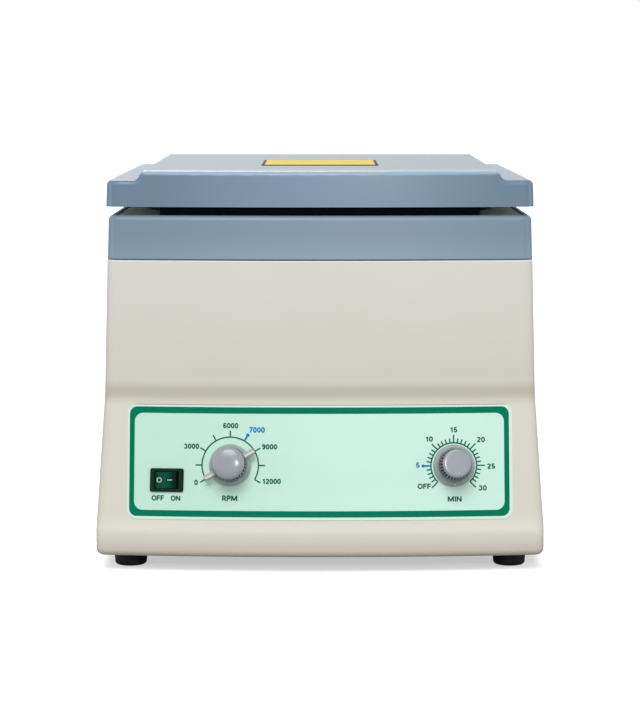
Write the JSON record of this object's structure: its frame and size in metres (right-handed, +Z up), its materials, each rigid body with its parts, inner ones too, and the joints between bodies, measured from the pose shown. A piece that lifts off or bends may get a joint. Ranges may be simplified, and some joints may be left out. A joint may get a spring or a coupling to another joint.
{
  "type": "hematocrit centrifuge",
  "caption": "Bench centrifuge for capillary blood tubes: hinged lid over a round bowl with a flat disc rotor, and a sloping console with speed dial, timer and rocker switch.",
  "frame": {"origin": "on the table under the middle of the machine's overall box", "axes": "+X to the viewer's right, +Y from the console to the back, +Z up"},
  "size_m": [0.28, 0.3342, 0.2515],
  "materials": {
    "body_moulding": "fine textured, warm off-white",
    "blue_grey_moulding": "fine matt texture, blue grey",
    "stainless": "brushed",
    "zinc_steel": "bright zinc plated",
    "rubber": "matt black",
    "aluminium": "turned, clear anodised",
    "cast_aluminium": "as cast, blasted",
    "lamination": "varnished laminations",
    "copper": "enamelled copper",
    "brass": "satin",
    "carbon": "pressed carbon",
    "black_plastic": "fine matt black",
    "label_film": "satin printed film, mint with green frame",
    "knob_grey": "satin grey",
    "clear_bar": "polished pale grey",
    "switch_frame": "very dark green black",
    "rocker_green": "dark green, slightly see-through",
    "motor_steel": "dark enamel",
    "bearing_steel": "ground",
    "liner_white": "smooth pale grey",
    "yellow_plate": "satin yellow enamel",
    "deck_enamel": "satin off-white enamel",
    "circuit_board": "green lacquer"
  },
  "bodies": {
    "root": {"housing": "body_moulding", "base_plate": "zinc_steel", "base_screws": "zinc_steel", "feet_front": "rubber", "feet_rear": "rubber", "foot_screws": "zinc_steel", "collar": "blue_grey_moulding", "collar_screws": "zinc_steel", "deck_plate": "deck_enamel", "deck_screws": "stainless", "closing_strip": "rubber", "chamber_bowl": "stainless", "bowl_boot": "rubber", "motor_can": "motor_steel", "motor_top_bracket": "cast_aluminium", "motor_bottom_bracket": "cast_aluminium", "motor_bearings": "bearing_steel", "field_stack": "lamination", "field_coils": "copper", "carbon_brushes": "carbon", "brush_holders": "brass", "motor_pillars": "zinc_steel", "vibration_mounts": "rubber", "mount_bolts": "zinc_steel", "hinge_body_leaves": "stainless", "hinge_pins": "stainless", "control_label": "label_film", "speed_potentiometer": "black_plastic", "timer_body": "zinc_steel", "panel_nuts": "brass", "power_switch": "switch_frame", "power_inlet": "black_plastic", "inlet_pins": "brass", "rear_screws": "stainless", "fuse_holder": "black_plastic", "control_board": "circuit_board", "board_parts": "black_plastic"},
    "lid": {"lid_shell": "blue_grey_moulding", "lid_liner": "liner_white", "lid_screws": "stainless", "lid_seal": "rubber", "lid_plate": "yellow_plate", "hinge_lid_leaves": "stainless", "lid_hinge_screws": "stainless"},
    "rotor": {"motor_shaft": "bearing_steel", "armature": "lamination", "commutator": "copper", "cooling_fan": "black_plastic", "rotor_hub": "aluminium", "rotor_plate": "aluminium", "rotor_gasket": "rubber", "rotor_cover": "aluminium"},
    "rotor_nut": {"rotor_nut": "aluminium"},
    "speed_control": {"speed_knob": "knob_grey", "speed_pointer": "clear_bar", "speed_shaft": "zinc_steel"},
    "timer_control": {"timer_knob": "knob_grey", "timer_shaft": "zinc_steel"},
    "rocker": {"switch_rocker": "rocker_green"},
    "fuse_cap": {"fuse_cap": "black_plastic"}
  },
  "joints": [
    {"name": "lid_hinge", "type": "hinge", "parent": "root", "child": "lid", "pos_m": [0, 0.15991, 0.2245], "axis": [-1, 0, 0], "range_deg": [0, 95]},
    {"name": "rotor_spin", "type": "hinge", "parent": "root", "child": "rotor", "pos_m": [0, -0.00619, 0.182], "axis": [0, 0, 1], "continuous": true},
    {"name": "rotor_nut_turn", "type": "hinge", "parent": "rotor", "child": "rotor_nut", "pos_m": [0, -0.00619, 0.2003], "axis": [0, 0, 1], "range_deg": [0, 720]},
    {"name": "speed_turn", "type": "hinge", "parent": "root", "child": "speed_control", "pos_m": [-0.05592, -0.14817, 0.0672], "axis": [0.048, 0.9703, -0.2371], "range_deg": [0, 240]},
    {"name": "timer_turn", "type": "hinge", "parent": "root", "child": "timer_control", "pos_m": [0.08343, -0.14659, 0.0667], "axis": [-0.0715, 0.9689, -0.2371], "range_deg": [0, 315]},
    {"name": "power_rock", "type": "hinge", "parent": "root", "child": "rocker", "pos_m": [-0.09527, -0.14589, 0.05732], "axis": [0.0199, 0.2362, 0.9715], "range_deg": [0, 18]},
    {"name": "fuse_cap_turn", "type": "hinge", "parent": "root", "child": "fuse_cap", "pos_m": [0.052, 0.15681, 0.052], "axis": [0, 1, 0], "range_deg": [0, 90]}
  ]
}
